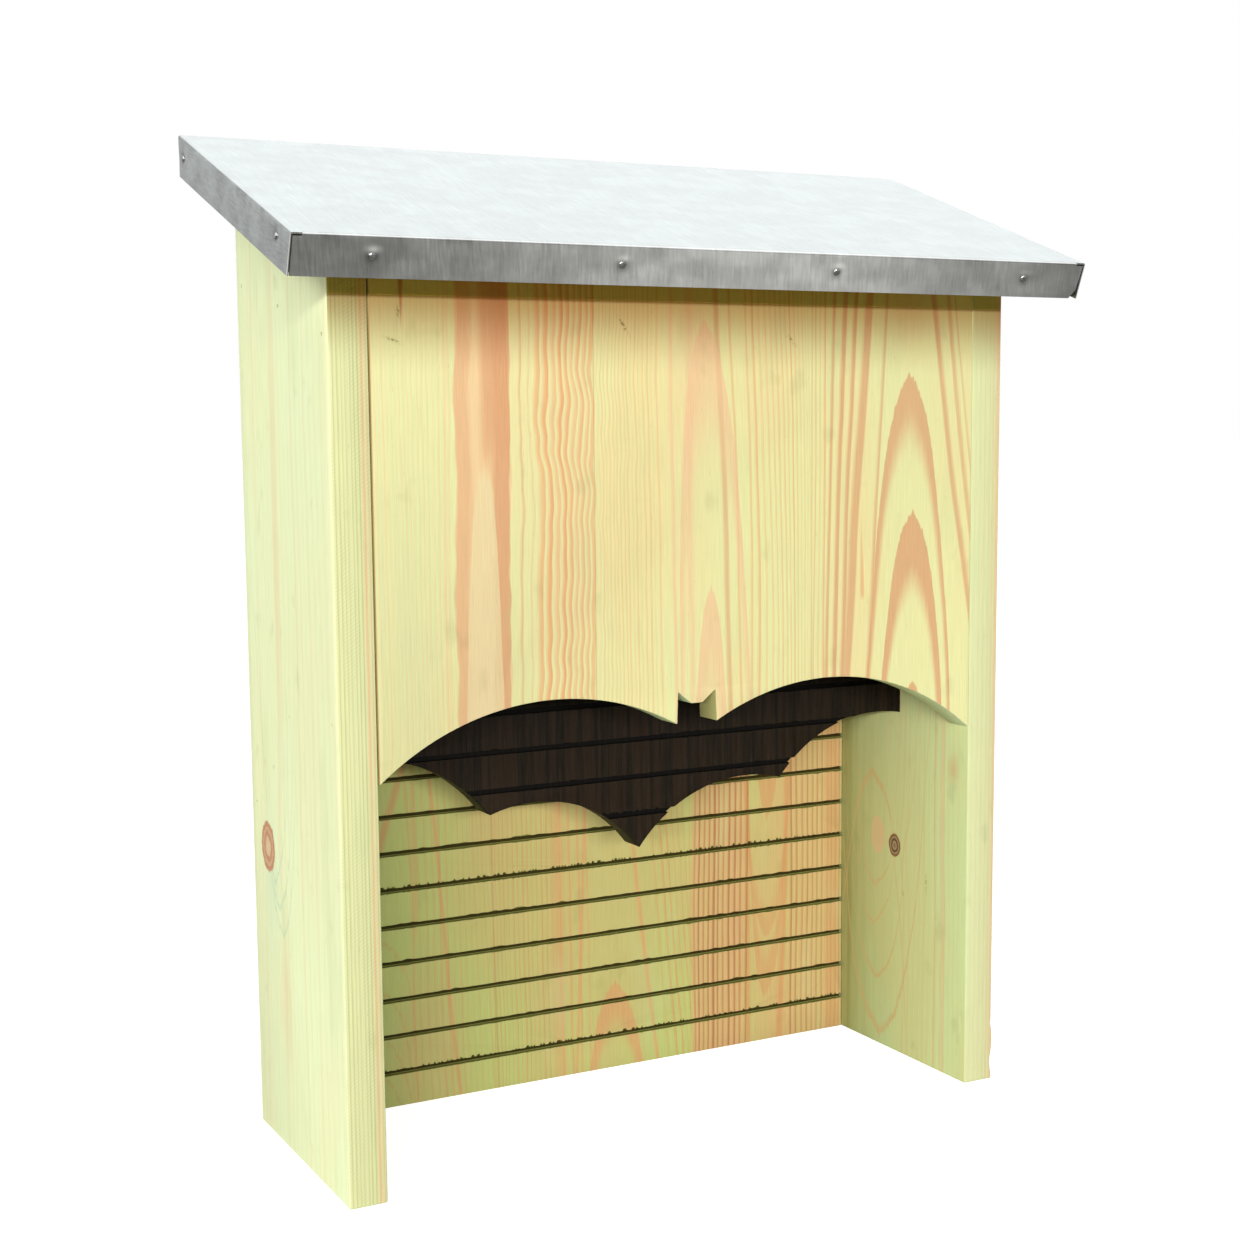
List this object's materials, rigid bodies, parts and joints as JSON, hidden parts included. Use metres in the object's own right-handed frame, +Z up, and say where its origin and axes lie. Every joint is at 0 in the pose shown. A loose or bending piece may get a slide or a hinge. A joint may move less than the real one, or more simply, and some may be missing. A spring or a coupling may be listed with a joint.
{
  "type": "bat box",
  "caption": "Wooden bat box with kerfed roost boards, a bat-shaped opening sawn into its boards and a sloping sheet-clad roof.",
  "frame": {"origin": "on the ground plane under the centre of the bounding box; the side boards stand on it", "axes": "+X to the right seen from the front, +Y to the back, +Z up; the front faces -Y"},
  "size_m": [0.4138, 0.16, 0.4841],
  "materials": {
    "green_pine": "planed pine with a pale green preservative, unvarnished",
    "stained_pine": "sawn pine with a near-black matt stain",
    "galvanised_sheet": "galvanised sheet with faint rolling streaks",
    "nail_steel": "bright zinc-plated nails"
  },
  "bodies": {
    "root": {"back_panel": "green_pine", "front_flap_nail_1": "nail_steel", "front_flap_nail_2": "nail_steel", "front_flap_nail_3": "nail_steel", "front_flap_nail_4": "nail_steel", "front_panel": "green_pine", "left_deck_nail_1": "nail_steel", "left_deck_nail_2": "nail_steel", "left_flap_nail_1": "nail_steel", "left_flap_nail_2": "nail_steel", "left_pin_back_1": "nail_steel", "left_pin_back_2": "nail_steel", "left_pin_front_1": "nail_steel", "left_pin_front_2": "nail_steel", "left_pin_roost_1": "nail_steel", "left_pin_roost_2": "nail_steel", "left_side": "green_pine", "right_deck_nail_1": "nail_steel", "right_deck_nail_2": "nail_steel", "right_flap_nail_1": "nail_steel", "right_flap_nail_2": "nail_steel", "right_pin_back_1": "nail_steel", "right_pin_back_2": "nail_steel", "right_pin_front_1": "nail_steel", "right_pin_front_2": "nail_steel", "right_pin_roost_1": "nail_steel", "right_pin_roost_2": "nail_steel", "right_side": "green_pine", "roof_board": "green_pine", "roof_sheet": "galvanised_sheet", "roost_partition": "stained_pine"}
  },
  "joints": []
}
